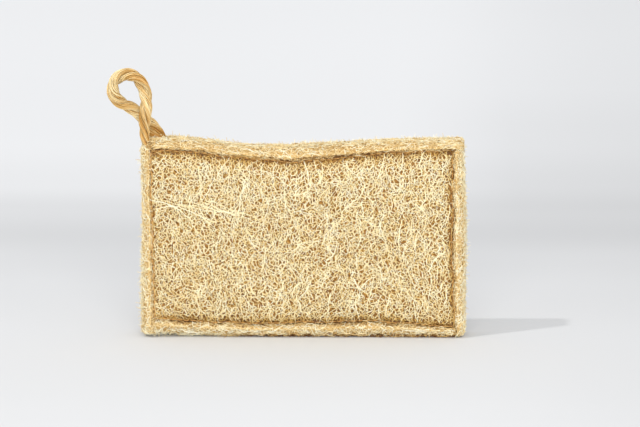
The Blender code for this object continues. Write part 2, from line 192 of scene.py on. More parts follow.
# How far the hand-guided seam runs in from each edge, along x and along z
SEAM_TOP = ([-70, -60, -47, -24, -2, 16, 43, 63], [4.9, 4.8, 5.4, 4.6, 6.8, 5.8, 4.6, 4.6])
SEAM_BOTTOM = ([-66, -52, -38, -20, 11, 29, 43, 56, 66], [8.6, 7.6, 6.9, 6.5, 7.2, 7.9, 6.9, 5.6, 4.9])
SEAM_LEFT = ([8, 30, 45, 60, 82], [5.6, 5.2, 5.5, 5.0, 5.3])
SEAM_RIGHT = ([4, 20, 40, 60, 84], [5.2, 6.0, 6.4, 5.8, 5.6])

FIBRE_TONES = [
    (0.0, (0.24, 0.12, 0.06)),
    (0.30, (0.66, 0.40, 0.10)),
    (0.58, (0.88, 0.68, 0.32)),
    (0.80, (0.97, 0.86, 0.55)),
    (1.0, (1.0, 0.95, 0.73)),
]


def top_edge(x):
    """The height of the pad's sagging top edge."""
    spread = np.where(np.asarray(x) < SAG_X, SAG_LEFT, SAG_RIGHT)
    drop = RIGHT_DROP * np.clip((np.asarray(x) + 10) / 40, 0, 1)
    return PAD_HEIGHT - TOP_SAG * np.exp(-((x - SAG_X) / spread) ** 2) - drop


def seam(at, course):
    """How far in from its edge a seam runs."""
    places, insets = (np.array(c, float) for c in course)
    smooth = sum(np.interp(at + shift, places, insets) for shift in (-6, -3, 0, 3, 6)) / 5
    return smooth + 0.35 * np.sin(at * 0.31 + insets[0] * 9) * np.sin(at * 0.083 + insets[1])


def leaned(x, z):
    """Where x comes to once the pad leans, at the height z."""
    return x + (LEAN_LEVEL - z) * LEAN


def waves(points, size, seed, count=7):
    """A smooth uneven field of about -1 to 1 over points, with bumps about size wide."""
    rng = np.random.default_rng(seed)
    total = np.zeros(points.shape[:-1])
    for _ in range(count):
        way = rng.normal(size=points.shape[-1])
        way *= rng.uniform(0.6, 1.5) * math.pi / size / np.linalg.norm(way)
        total += np.sin(points @ way + rng.uniform(0, 2 * math.pi))
    return total / math.sqrt(count)


def mat_point(u, v, lift, side):
    """The point over a mat a share u across and v up between its seams, lift above its nominal face.

    side is -1 in front and 1 behind.
    """
    z = v * PAD_HEIGHT
    left = -PAD_WIDTH / 2 + seam(z, SEAM_LEFT) - MAT_LAP
    right = PAD_WIDTH / 2 - seam(z, SEAM_RIGHT)
    x = left + u * (right - left)
    low, high = seam(x, SEAM_BOTTOM), top_edge(x) - seam(x, SEAM_TOP)
    z = low + v * (high - low)
    depth_in = np.stack([x - left, right - x, z - low, high - z])
    inward = -2.2 * np.log(np.exp(-depth_in / 2.2).sum(axis=0))
    shallow = 2.3 * np.exp(-((x - left) / 6) ** 2)  # the groove is hardly drawn in along the left side
    rise = np.clip((inward + 0.9 + shallow) / SHOULDER, 0, 1)
    swell = 0.26 * waves(np.stack([x, z], -1), 21, 5 + side) * np.clip(rise * 2, 0, 1)
    half = GROOVE_HALF + (PAD_HALF - 0.35 - GROOVE_HALF) * (1 - (1 - rise) ** 2) ** 0.66 + swell
    return np.stack([leaned(x, z), side * (half + lift).clip(0, PAD_HALF + 0.5), z], -1)


def voronoi_ends(width, height, pitch_u, pitch_v, jitter, rng):
    """A Voronoi net over a sheet: the numbers of each strand's two ends, and the places of the ends."""
    columns, rows = int(width / pitch_u) + 4, int(height / pitch_v) + 4
    u, v = np.meshgrid(np.arange(columns) - 1.5, np.arange(rows) - 1.5)
    u = u + 0.5 * (np.arange(rows)[:, None] % 2)
    u = (u + rng.uniform(-jitter, jitter, u.shape)) * pitch_u
    v = (v + rng.uniform(-jitter, jitter, v.shape)) * pitch_v
    sites = [Vector(p) for p in zip(u.ravel(), v.ravel())]
    seen = geometry.delaunay_2d_cdt(sites, [], [], 0, 1e-7)
    points = np.array([tuple(p) for p in seen[0]])
    triangles = np.array(seen[2])
    a, b, c = (points[triangles[:, k]] for k in range(3))
    d = 2 * (a[:, 0] * (b[:, 1] - c[:, 1]) + b[:, 0] * (c[:, 1] - a[:, 1]) + c[:, 0] * (a[:, 1] - b[:, 1]))
    aa, bb, cc = (a ** 2).sum(1), (b ** 2).sum(1), (c ** 2).sum(1)
    centres = np.stack([
        (aa * (b[:, 1] - c[:, 1]) + bb * (c[:, 1] - a[:, 1]) + cc * (a[:, 1] - b[:, 1])) / d,
        (aa * (c[:, 0] - b[:, 0]) + bb * (a[:, 0] - c[:, 0]) + cc * (b[:, 0] - a[:, 0])) / d,
    ], -1)
    sides = np.sort(np.concatenate([triangles[:, pair] for pair in ([0, 1], [1, 2], [2, 0])]), axis=1)
    owner = np.tile(np.arange(len(triangles)), 3)
    order = np.lexsort((sides[:, 1], sides[:, 0]))
    sides, owner = sides[order], owner[order]
    same = np.flatnonzero((sides[1:] == sides[:-1]).all(axis=1))
    strands = np.stack([owner[same], owner[same + 1]], -1)
    inside = ((centres > 0) & (centres < (width, height))).all(axis=1)
    length = np.linalg.norm(centres[strands[:, 0]] - centres[strands[:, 1]], axis=1)
    keep = inside[strands].all(axis=1) & (length > 0.15 * pitch_u) & (length < 4 * pitch_u)
    return strands[keep], centres


def net_strands(width, height, pitch, jitter, lift, unevenness, lost, rng):
    """Short straight strands that join into a net: the (u, v, lift) points of each one's two ends."""
    strands, ends = voronoi_ends(width, height, *pitch, jitter, rng)
    strands = strands[rng.random(len(strands)) > lost]
    heights = lift + unevenness * rng.normal(size=len(ends)).clip(-2, 2)
    return np.column_stack([ends, heights])[strands]


def wandering_strands(starts, heading, turning, step, count, lift, rise, rng):
    """Long strands that wander over the net, rise out of it and dip back in: their (u, v, lift) points."""
    n = len(starts)
    bend = rng.normal(size=(n, 1)) * turning * 0.5
    kinks = np.cumsum(rng.normal(size=(n, count - 1)) * turning * 0.35, axis=1)
    angle = heading[:, None] + bend * np.linspace(-1, 1, count - 1) * 3 + kinks
    walk = np.stack([np.cos(angle), np.sin(angle)], -1) * step[:, None, None]
    path = np.zeros((n, count, 3))
    path[:, 1:, :2] = np.cumsum(walk, axis=1)
    path[..., :2] += starts[:, None] - path[:, count // 2:count // 2 + 1, :2]
    share = np.linspace(0, 1, count)
    arch = np.minimum(1, 3.2 * np.minimum(share, 1 - share)) ** 0.7
    ripple = 0.16 * np.sin(share * rng.uniform(8, 26, (n, 1)) + rng.uniform(0, 6.3, (n, 1)))
    path[..., 2] = lift + arch * rise[:, None] - (1 - arch) * 0.75 + ripple
    return path


def standing_hairs(starts, heading, reach, height, rng):
    """Short hairs that lift off the net at one end: their (u, v, lift) points."""
    share = np.array([0, 0.35, 0.7, 1.0])
    turn = heading[:, None] + rng.normal(size=(len(starts), 1)) * 0.5 * share
    path = np.zeros((len(starts), 4, 3))
    way = np.stack([np.cos(turn), np.sin(turn)], -1)
    path[..., :2] = starts[:, None] + way * (reach[:, None] * share)[..., None]
    path[..., 2] = -0.2 + height[:, None] * share ** 0.8
    return path


def fibre_tubes(paths, radii, tones, sides=3):
    """Closed tubes round many paths of equally many points, each with its own radius and tone."""
    n, p, _ = paths.shape
    run = np.gradient(paths, axis=1)
    run /= np.linalg.norm(run, axis=2, keepdims=True) + 1e-12
    least = np.abs(run).mean(axis=1).argmin(axis=1)
    across = np.cross(run, np.eye(3)[least][:, None])
    across /= np.linalg.norm(across, axis=2, keepdims=True) + 1e-12
    out = np.cross(run, across)
    taper = np.ones(p)
    if p > 4:
        taper[[0, -1]] = 0.35
        taper[[1, -2]] = 0.8
    angle = 2 * np.pi * np.arange(sides) / sides
    ring = across[:, :, None] * np.cos(angle)[:, None] + out[:, :, None] * np.sin(angle)[:, None]
    points = paths[:, :, None] + ring * (radii[:, None] * taper)[:, :, None, None]
    grid = np.arange(n * p * sides).reshape(n, p, sides)
    a, b = grid[:, :-1], grid[:, 1:]
    a_next, b_next = np.roll(a, -1, axis=2), np.roll(b, -1, axis=2)
    walls = np.concatenate([
        np.stack([a, a_next, b_next], -1).reshape(-1, 3), np.stack([a, b_next, b], -1).reshape(-1, 3),
    ])
    first, last = grid[:, 0], grid[:, -1]
    caps = [np.stack([first[:, 0], first[:, k + 1], first[:, k]], -1) for k in range(1, sides - 1)]
    caps += [np.stack([last[:, 0], last[:, k], last[:, k + 1]], -1) for k in range(1, sides - 1)]
    tone = np.repeat(tones, p * sides) if tones.ndim == 1 else np.repeat(tones.ravel(), sides)
    return points.reshape(-1, 3), np.concatenate([walls] + caps), tone


def fibre_piece(name, bundles, material, node):
    """One piece from many bundles of tubes. Each vertex keeps its fibre's tone for the material."""
    points, faces, tones, start = [], [], [], 0
    for bundle_points, bundle_faces, bundle_tones in bundles:
        points.append(bundle_points)
        faces.append(bundle_faces + start)
        tones.append(bundle_tones)
        start += len(bundle_points)
    points, faces, tones = np.concatenate(points), np.concatenate(faces), np.concatenate(tones)
    mesh = bpy.data.meshes.new(name)
    mesh.vertices.add(len(points))
    mesh.vertices.foreach_set("co", (points * MM).ravel().astype(np.float32))
    mesh.loops.add(faces.size)
    mesh.loops.foreach_set("vertex_index", faces.ravel().astype(np.int32))
    mesh.polygons.add(len(faces))
    mesh.polygons.foreach_set("loop_start", np.arange(0, faces.size, 3, dtype=np.int32))
    mesh.update(calc_edges=True)
    mesh.shade_smooth()
    carried = mesh.attributes.new("tone", "FLOAT", "POINT")
    carried.data.foreach_set("value", tones.clip(0, 1).astype(np.float32))
    piece = bpy.data.objects.new(name, mesh)
    bpy.context.scene.collection.objects.link(piece)
    mesh.materials.append(material)
    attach(piece, "root")
    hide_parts(node)


def fibre_material(name, tones, roughness):
    """Dry plant fibre: its colour follows the tone that each fibre carries, with a fine grain along it."""
    made = bpy.data.materials.new(name)
    made.use_nodes = True
    nodes, links = made.node_tree.nodes, made.node_tree.links
    shader = nodes["Principled BSDF"]
    carried = nodes.new("ShaderNodeAttribute")
    carried.attribute_name = "tone"
    place = nodes.new("ShaderNodeTexCoord")
    blotch = nodes.new("ShaderNodeTexNoise")
    blotch.inputs["Scale"].default_value = 260
    blotch.inputs["Detail"].default_value = 3
    shift = nodes.new("ShaderNodeMath")
    shift.operation = "MULTIPLY_ADD"
    shift.inputs[1].default_value = 0.22
    ramp = nodes.new("ShaderNodeValToRGB")
    for i, (at, colour) in enumerate(tones):
        stop = ramp.color_ramp.elements[i] if i < 2 else ramp.color_ramp.elements.new(at)
        stop.position = at
        stop.color = (*colour, 1)
    centred = nodes.new("ShaderNodeMath")
    centred.operation = "SUBTRACT"
    centred.inputs[1].default_value = 0.11
    grain = nodes.new("ShaderNodeTexNoise")
    grain.inputs["Scale"].default_value = 2600
    bump = nodes.new("ShaderNodeBump")
    bump.inputs["Strength"].default_value = 0.25
    bump.inputs["Distance"].default_value = 0.00008
    links.new(place.outputs["Object"], blotch.inputs["Vector"])
    links.new(place.outputs["Object"], grain.inputs["Vector"])
    links.new(blotch.outputs["Fac"], shift.inputs[0])
    links.new(carried.outputs["Fac"], shift.inputs[2])
    links.new(shift.outputs[0], centred.inputs[0])
    links.new(centred.outputs[0], ramp.inputs["Fac"])
    links.new(ramp.outputs["Color"], shader.inputs["Base Color"])
    links.new(grain.outputs["Fac"], bump.inputs["Height"])
    links.new(bump.outputs["Normal"], shader.inputs["Normal"])
    shader.inputs["Roughness"].default_value = roughness
    shader.inputs["Specular IOR Level"].default_value = 0.2
    return made


def core_material(name, packed, painted_gap_shade):
    """The packed fibres deep inside, seen only through the net, with painted shade in the gaps between them.
    """
    made = bpy.data.materials.new(name)
    made.use_nodes = True
    nodes, links = made.node_tree.nodes, made.node_tree.links
    place = nodes.new("ShaderNodeTexCoord")
    frayed = nodes.new("ShaderNodeTexNoise")
    frayed.inputs["Scale"].default_value = 700
    frayed.inputs["Detail"].default_value = 2
    moved = nodes.new("ShaderNodeVectorMath")
    moved.operation = "MULTIPLY_ADD"
    moved.inputs[1].default_value = (0.0016, 0.0016, 0.0016)
    cells = nodes.new("ShaderNodeTexVoronoi")
    cells.feature = "DISTANCE_TO_EDGE"
    cells.inputs["Scale"].default_value = 1150
    ramp = nodes.new("ShaderNodeValToRGB")
    for i, (at, colour) in enumerate(((0.02, packed), (0.28, painted_gap_shade))):
        ramp.color_ramp.elements[i].position = at
        ramp.color_ramp.elements[i].color = (*colour, 1)
    bump = nodes.new("ShaderNodeBump")
    bump.inputs["Strength"].default_value = 0.9
    bump.inputs["Distance"].default_value = 0.0003
    bump.invert = True
    links.new(place.outputs["Object"], frayed.inputs["Vector"])
    links.new(frayed.outputs["Color"], moved.inputs[0])
    links.new(place.outputs["Object"], moved.inputs[2])
    links.new(moved.outputs[0], cells.inputs["Vector"])
    links.new(cells.outputs["Distance"], ramp.inputs["Fac"])
    links.new(cells.outputs["Distance"], bump.inputs["Height"])
    links.new(ramp.outputs["Color"], nodes["Principled BSDF"].inputs["Base Color"])
    links.new(bump.outputs["Normal"], nodes["Principled BSDF"].inputs["Normal"])
    nodes["Principled BSDF"].inputs["Roughness"].default_value = 0.85
    nodes["Principled BSDF"].inputs["Specular IOR Level"].default_value = 0.2
    return made


def core_piece(name, shape, material, node, cuts):
    """A closed core under the net: a cube, cut finely and then moved point by point to its shape."""
    bpy.ops.mesh.primitive_cube_add(size=1)
    piece = bpy.context.object
    piece.name = name
    for axis, number in enumerate(cuts):
        bpy.ops.object.mode_set(mode="EDIT")
        bpy.ops.mesh.select_mode(type="EDGE")
        bpy.ops.mesh.select_all(action="DESELECT")
        bpy.ops.object.mode_set(mode="OBJECT")
        for edge in piece.data.edges:
            a, b = (piece.data.vertices[i].co for i in edge.vertices)
            edge.select = abs(a[axis] - b[axis]) > 0.9
        bpy.ops.object.mode_set(mode="EDIT")
        if number:
            bpy.ops.mesh.subdivide(number_cuts=number)
        bpy.ops.object.mode_set(mode="OBJECT")
    points = np.array([tuple(v.co) for v in piece.data.vertices])
    piece.data.vertices.foreach_set("co", (shape(points + 0.5) * MM).ravel().astype(np.float32))
    bpy.ops.object.mode_set(mode="EDIT")
    bpy.ops.mesh.select_all(action="SELECT")
    bpy.ops.mesh.normals_make_consistent(inside=False)
    bpy.ops.object.mode_set(mode="OBJECT")
    bpy.ops.object.shade_smooth()
    piece.data.materials.append(material)
    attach(piece, "root")
    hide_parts(node)
    piece.select_set(False)


loofah_fibre = fibre_material("loofah_fibre", FIBRE_TONES, 0.62)
# the mats' core is coloured dark as painted shade, so that the holes through the net read deep
loofah_core = core_material("loofah_core", (0.46, 0.24, 0.065), (0.13, 0.055, 0.012))
NET_WIDTH, NET_HEIGHT = 133.8, 76.0
HOLE_CELL = np.array([2.3, 3.9])  # one hole at most in each such cell of the net
HOLE_GRID = 72  # cells enough to cover the net either way
HOLE_SHARE = 0.80
HOLE_STRETCH = (1, 2.1)  # holes stand upright


def on_mat(path, side):
    """Lays (u, v, lift) points on a mat, tighter in some places and looser in others."""
    flat = path[..., :2]
    u, v = flat[..., 0], flat[..., 1]
    free = (np.minimum(np.minimum(u, NET_WIDTH - u), np.minimum(v, NET_HEIGHT - v)) / 8).clip(0, 1)
    u = u + free * (0.32 * waves(flat, 4, 51) + 0.35 * waves(flat, 14, 52))
    v = v + free * (0.32 * waves(flat, 4, 53) + 0.35 * waves(flat, 14, 54))
    return mat_point((u / NET_WIDTH).clip(0, 1), (v / NET_HEIGHT).clip(0, 1), path[..., 2], side)


def open_holes(path, wide, seed):
    """Pushes a net's strands apart round scattered holes, and drops those that would cross one.

    wide is the holes' size as a share of the usual.
    """
    rng = np.random.default_rng(seed)
    table = rng.random((HOLE_GRID, HOLE_GRID, 4))
    flat = path[..., :2]
    number = np.clip(np.floor(flat / HOLE_CELL).astype(int) + 2, 0, HOLE_GRID - 1)
    hole = table[number[..., 0], number[..., 1]]
    centre = (number - 2 + 0.5 + 0.6 * (hole[..., :2] - 0.5)) * HOLE_CELL
    own_size = np.where(hole[..., 2] < HOLE_SHARE, 0.25 + 0.30 * hole[..., 3] ** 3, 0.0)
    size = wide * (1 + 0.22 * waves(flat, 42, seed + 9)) * own_size
    away = flat - centre
    far = np.linalg.norm(away / HOLE_STRETCH, axis=-1) + 1e-6
    push = np.sqrt(1 + (size * np.exp(-(far / (2.2 * size + 0.01)) ** 2) / far) ** 2)
    path[..., :2] = centre + away * push[..., None]
    middle = path[..., :2].mean(axis=1)
    across = np.linalg.norm((middle[:, None] - centre) / HOLE_STRETCH, axis=-1)
    return path[(across > 0.8 * size).all(axis=1)]


MATS = [  # each mat's name, side, seed, how much coarser its net is, and its number of short veins
    ("front_mat", -1, 100, 1.0, 1950),
    ("back_mat", 1, 200, 1.18, 1000),
]
NET_LAYERS = [  # from the deepest: pitch, lift, unevenness, share lost, thinnest, thickest, tone, holes' size; the deeper layers' lower tones are painted shade
    ((1.9, 3.1), -1.50, 0.20, 0.06, 0.22, 0.34, 0.23, 0.6),
    ((0.97, 2.45), -0.85, 0.28, 0.06, 0.155, 0.26, 0.69, 1.0),
    ((1.04, 2.65), -0.34, 0.28, 0.34, 0.12, 0.20, 0.82, 1.0),
]
LONG_VEINS = 170
BRANCHES = 260
FOLD_STRANDS = 9  # a soft crease across the left part
FOLD_LEVEL = 51.9
LIFTED_HAIRS = 300
for mat, side, seed, coarser, fine_strands in MATS:
    rng = np.random.default_rng(seed)

    def mat_core(share, side=side):
        face = mat_point(*(0.5 + 1.03 * (share[:, k] - 0.5) for k in (0, 2)), -1.9, side)
        x = (share[:, 0] - 0.5) * (PAD_WIDTH - 2 * MAT_INSET)
        z = MAT_INSET + share[:, 2] * (top_edge(x) - 2 * MAT_INSET)
        back = np.stack([leaned(x, z), np.full_like(x, side * 0.15), z], -1)
        near = (share[:, 1] if side < 0 else 1 - share[:, 1])[:, None]
        return face * (1 - near) + back * near

    core_piece(mat + "_core", mat_core, loofah_core, mat, (46, 1, 30))

    def scattered(count):
        """Places strewn evenly over the mat, one in each of count cells."""
        rows = round(math.sqrt(count * NET_HEIGHT / NET_WIDTH))
        cell = np.arange(count)
        spots = np.stack([(cell // rows) / math.ceil(count / rows), (cell % rows) / rows], -1)
        return (spots + rng.random((count, 2)) / (math.ceil(count / rows), rows)) * (NET_WIDTH, NET_HEIGHT)

    def tone_of(path, tone, spread):
        """Each fibre's tone: it differs from place to place, is brown in the seam's groove, partly pressed by
        the seam and partly painted shade, has painted shade in the pocket beside the loop, and painted light
        makes it lighter towards the top.
        """
        middle = path[..., :2].mean(axis=1)
        near, far = middle * (2.6, 1), (np.array([NET_WIDTH, NET_HEIGHT]) - middle) * (1.7, 1)
        to_seam = np.minimum(near, far).min(axis=1)
        # the groove's brown: partly fibre pressed by the seam, partly painted shade
        browned_and_shaded = np.exp(-(to_seam.clip(0) / 2.1) ** 1.5) * (0.56 + 0.20 * waves(middle, 3.5, seed + 2))
        browned_and_shaded = browned_and_shaded * (1 - 0.5 * np.exp(-(middle[:, 0] / 5) ** 2))  # less along the left side
        # painted shade in the pocket beside the loop
        to_loop = np.linalg.norm(middle - np.array([1.8, NET_HEIGHT]), axis=1)
        browned_and_shaded = browned_and_shaded + 0.55 * np.exp(-(to_loop / 2.6) ** 2)
        uneven = 0.02 * waves(middle, 9, seed + 1) + 0.035 * waves(middle, 3, seed)
        # painted light: lighter towards the top, darker towards the bottom
        uneven += 0.05 * (middle[:, 1] / NET_HEIGHT - 0.5)
        return tone + uneven - browned_and_shaded.clip(0) + rng.normal(size=len(path)) * spread

    layers = []
    for pitch, lift, uneven, lost, thin, thick, tone, wide in NET_LAYERS:
        pitch = (pitch[0] * coarser, pitch[1] * coarser)
        path = net_strands(NET_WIDTH, NET_HEIGHT, pitch, 0.48, lift, uneven, lost, rng)
        path = open_holes(path, wide, seed)
        fuller = 1 + 0.06 * waves(path[..., :2].mean(axis=1), 8, seed + 7)
        radii = rng.uniform(thin, thick, len(path)) * fuller
        layers.append(fibre_tubes(on_mat(path, side), radii, tone_of(path, tone, 0.12)))
    fibre_piece(mat + "_deep_net", layers[:2], loofah_fibre, mat)
    fibre_piece(mat + "_net", layers[2:], loofah_fibre, mat)

    count = LONG_VEINS
    starts = scattered(count) * (0.86, 1) + (NET_WIDTH * 0.14, 0)
    upright = np.pi / 2 + rng.normal(size=count) * 0.30
    long_veins = wandering_strands(
        starts, upright, 0.34, rng.uniform(0.5, 1.1, count), 16, -0.15, rng.uniform(0.1, 0.3, count), rng,
    )
    count = BRANCHES
    twig = rng.integers(len(long_veins), size=count)
    knot = rng.integers(3, 13, size=count)
    starts = long_veins[twig, knot, :2]
    side_ways = np.pi / 2 + rng.choice([-1, 1], count) * rng.uniform(0.2, 0.8, count)
    branches = wandering_strands(
        starts, side_ways, 0.35, rng.uniform(0.4, 0.8, count), 10, -0.15, rng.uniform(0.05, 0.25, count), rng,
    )
    count = fine_strands
    starts = scattered(count)
    upright = np.pi / 2 + rng.normal(size=count) * 0.42
    short_veins = wandering_strands(
        starts, upright, 0.5, rng.uniform(0.30, 0.75, count), 8, -0.35, rng.uniform(0.1, 0.40, count), rng,
    )
    count = FOLD_STRANDS
    along = rng.uniform(4, NET_WIDTH * 0.42, count)
    band = np.column_stack([along, rng.normal(size=count) * 0.6 + FOLD_LEVEL])
    fold = wandering_strands(
        band, rng.normal(size=count) * 0.08, 0.14, rng.uniform(1.0, 1.7, count), 20, -0.1,
        rng.uniform(0.1, 0.3, count), rng,
    )
    count = LIFTED_HAIRS
    hairs = standing_hairs(
        scattered(count), rng.uniform(0, 2 * np.pi, count), rng.uniform(0.6, 1.8, count),
        rng.uniform(0.3, 1.1, count), rng,
    )
    bundles = []
    for path, thin, thick, tone, spread in (
        (long_veins, 0.13, 0.21, 0.86, 0.07), (branches, 0.11, 0.18, 0.82, 0.08),
        (short_veins, 0.09, 0.16, 0.78, 0.13), (fold, 0.13, 0.20, 0.88, 0.06),
        (hairs, 0.05, 0.09, 0.84, 0.08),
    ):
        radii = rng.uniform(thin, thick, len(path))
        bundles.append(fibre_tubes(on_mat(path, side), radii, tone_of(path, tone, spread)))
    fibre_piece(mat + "_veins", bundles, loofah_fibre, mat)

# The seam: a lockstitch all round the pad, pulled tight down the groove between the mats and the edge strips.
# The needle thread lies in front and the bobbin thread behind, both of cotton; their golden brown is partly
# painted shade of the groove they lie in.
STITCH = 3.1
STITCH_AT = [0.03, 0.10, 0.35, 0.65, 0.90, 0.97]  # six points along a stitch, as shares of it
STITCH_LIFT = [-1.6, -0.75, -0.35, -0.35, -0.75, -1.6]  # and how they lie to the mat's face
SEAM_THREAD_RADIUS = 0.26

thread_finish = bpy.data.materials.new("twisted_thread")
thread_finish.use_nodes = True
nodes, links = thread_finish.node_tree.nodes, thread_finish.node_tree.links
place = nodes.new("ShaderNodeTexCoord")
plies = nodes.new("ShaderNodeTexNoise")
plies.inputs["Scale"].default_value = 1500
ramp = nodes.new("ShaderNodeValToRGB")
# the thread's browns are partly painted shade of the groove
ramp.color_ramp.elements[0].position = 0.35
ramp.color_ramp.elements[0].color = (0.40, 0.19, 0.05, 1)
ramp.color_ramp.elements[1].position = 0.65
ramp.color_ramp.elements[1].color = (0.66, 0.38, 0.12, 1)
bump = nodes.new("ShaderNodeBump")
bump.inputs["Strength"].default_value = 0.5
bump.inputs["Distance"].default_value = 0.0001
links.new(place.outputs["Object"], plies.inputs["Vector"])
links.new(plies.outputs["Fac"], ramp.inputs["Fac"])
links.new(plies.outputs["Fac"], bump.inputs["Height"])
links.new(ramp.outputs["Color"], nodes["Principled BSDF"].inputs["Base Color"])
links.new(bump.outputs["Normal"], nodes["Principled BSDF"].inputs["Normal"])
nodes["Principled BSDF"].inputs["Roughness"].default_value = 0.7
nodes["Principled BSDF"].inputs["Specular IOR Level"].default_value = 0.25


def stitches(side):
    """The seam's stitches, laid on a mat: each comes up out of one hole and goes down into the next."""
    across, up = round(NET_WIDTH / STITCH), round(NET_HEIGHT / STITCH)
    corners = np.array([(0, 0), (1, 0), (1, 1), (0, 1), (0, 0)], float)
    runs = []
    for a, b, number in zip(corners, corners[1:], (across, up, across, up)):
        at = np.arange(number)[:, None] + np.array(STITCH_AT)
        runs.append(a + (b - a) * (at / number)[..., None])
    flat = np.concatenate(runs) * (NET_WIDTH, NET_HEIGHT)
    lift = np.array(STITCH_LIFT) + 0 * flat[..., 0]
    return mat_point(flat[..., 0] / NET_WIDTH, flat[..., 1] / NET_HEIGHT, lift, side)


for thread, side in (("needle_thread", -1), ("bobbin_thread", 1)):
    path = stitches(side)
    bundle = fibre_tubes(path, np.full(len(path), SEAM_THREAD_RADIUS), np.full(len(path), 0.5), sides=5)
    fibre_piece(thread + "_stitches", [bundle], thread_finish, thread)

# The edge strips: a thinner ribbon of loofah folded over each edge and sewn down on both faces. Along the
# top and bottom its fibres run lengthwise, down the sides they run more across, and ends stand out of it.
RIM_WIDTH = 6.5
RIM_RADIUS = 4.5  # round the pad's edge
LIP_RADIUS = 1.9  # where the strip turns down into the groove
TOP_START = 2.7  # the top strip begins beside the loop's front leg
TOP_LENGTH = PAD_WIDTH - TOP_START
BOTTOM_LENGTH = PAD_WIDTH - 4.9
RIGHT_LENGTH = PAD_HEIGHT - 1.0
LEFT_LENGTH = PAD_HEIGHT - 3.2
SIDE = PAD_WIDTH / 2


def rim_profile():
    """The strip across the pad's edge, from the front groove round to the back one: distance in and depth."""
    points = [(RIM_WIDTH + 0.2, -GROOVE_HALF + 0.4)]
    for angle in np.radians(np.arange(0, 91, 15)):
        points.append((
            RIM_WIDTH - 0.2 - LIP_RADIUS * (1 - math.cos(angle)),
            -RIM_HALF + LIP_RADIUS * (1 - math.sin(angle)),
        ))
    for angle in np.radians(np.arange(0, 91, 15)):
        points.append((
            RIM_RADIUS - RIM_RADIUS * math.sin(angle),
            -RIM_HALF + RIM_RADIUS - RIM_RADIUS * math.cos(angle),
        ))
    points += [(d, -y) for d, y in reversed(points)]
    return np.array(points)


PROFILE = rim_profile()
PROFILE_AT = np.concatenate([[0], np.cumsum(np.linalg.norm(np.diff(PROFILE, axis=0), axis=1))])
AROUND = PROFILE_AT[-1]
PROFILE_RUN = np.gradient(PROFILE, PROFILE_AT, axis=0)
PROFILE_OUT = np.stack([-PROFILE_RUN[:, 1], PROFILE_RUN[:, 0]], -1)
PROFILE_OUT /= np.linalg.norm(PROFILE_OUT, axis=1, keepdims=True)


def on_rim(path, lay):
    """Lays (s, t, lift) points round a strip: s along it, t round it, lift above it."""
    s, t, lift = path[..., 0], path[..., 1].clip(0, AROUND), path[..., 2]
    inward, y = (np.interp(t, PROFILE_AT, PROFILE[:, k]) for k in range(2))
    out_in, out_y = (np.interp(t, PROFILE_AT, PROFILE_OUT[:, k]) for k in range(2))
    return lay(s, inward + out_in * lift, y + out_y * lift)


def ends_rounded(s, inward, y, length, first, last):
    """Draws a strip in at its two ends, to the radii first and last, so that the pad's corners are round."""
    pinch = np.zeros_like(s)
    for near, radius in ((s, first), (length - s, last)):
        if radius:
            inset = np.clip(radius - near, 0, radius)
            pinch = np.maximum(pinch, radius - np.sqrt(radius ** 2 - inset ** 2))
    return RIM_WIDTH - (RIM_WIDTH - inward) * (1 - pinch / RIM_WIDTH), y * (1 - 0.8 * pinch / RIM_HALF)


def lay_top(s, inward, y):
    inward, y = ends_rounded(s, inward, y, TOP_LENGTH, 1.6, 3.0)
    behind_leg = np.clip((y + 3.2) / 3, 0, 1) * np.clip(1 - s / 6, 0, 1)
    x = s + TOP_START - SIDE - 2.2 * behind_leg
    z = top_edge(x) - inward * seam(x, SEAM_TOP) / RIM_WIDTH
    return np.stack([leaned(x, z), y, z], -1)


def lay_bottom(s, inward, y):
    inward, y = ends_rounded(s, inward, y, BOTTOM_LENGTH, 1.8, 0)
    x = s - SIDE - 0.8 * np.clip(1 - s / 15, 0, 1)
    clear = 0.9 * np.clip((-18 - x) / 45, 0, 1) * (1 - inward / RIM_WIDTH)  # its left end stands clear
    return np.stack([leaned(x, 0), y, clear + inward * seam(x, SEAM_BOTTOM) / RIM_WIDTH], -1)


def lay_right(s, inward, y):
    inward, y = ends_rounded(s, inward, y, RIGHT_LENGTH, 3.0, 3.0)
    y = y * (1 + 0.04 * np.clip((s - PAD_HEIGHT + 9) / 3, 0, 1))  # it laps over the top strip's end
    x = SIDE - inward * seam(s, SEAM_RIGHT) / RIM_WIDTH
    drawn = 0.8 * (1 - np.exp(-((s - 50) / 26) ** 2)) * (1 - inward / RIM_WIDTH)  # tighter at both ends
    return np.stack([leaned(x - drawn, s), y, s], -1)


def lay_left(s, inward, y):
    inward, y = ends_rounded(s, inward, y, LEFT_LENGTH, 1.8, 2.4)
    y = y * (1 + 0.04 * np.clip((9 - s) / 3, 0, 1))  # it laps over the bottom strip's end
    z = s + 0.5 + 1.7 * np.clip((y + 3.2) / 3, 0, 1) * np.clip((s - PAD_HEIGHT + 11.2) / 8, 0, 1)
    z = z + 0.8 * np.clip(1 - s / 6, 0, 1)
    x = -SIDE + inward * seam(z, SEAM_LEFT) / RIM_WIDTH
    low = np.clip((58 - z) / 45, 0, 1)
    spread = 1.3 * low ** 2 * (3 - 2 * low) * (1 - inward / RIM_WIDTH)  # its outer edge hangs looser low down
    return np.stack([leaned(x - spread, z), y, z], -1)


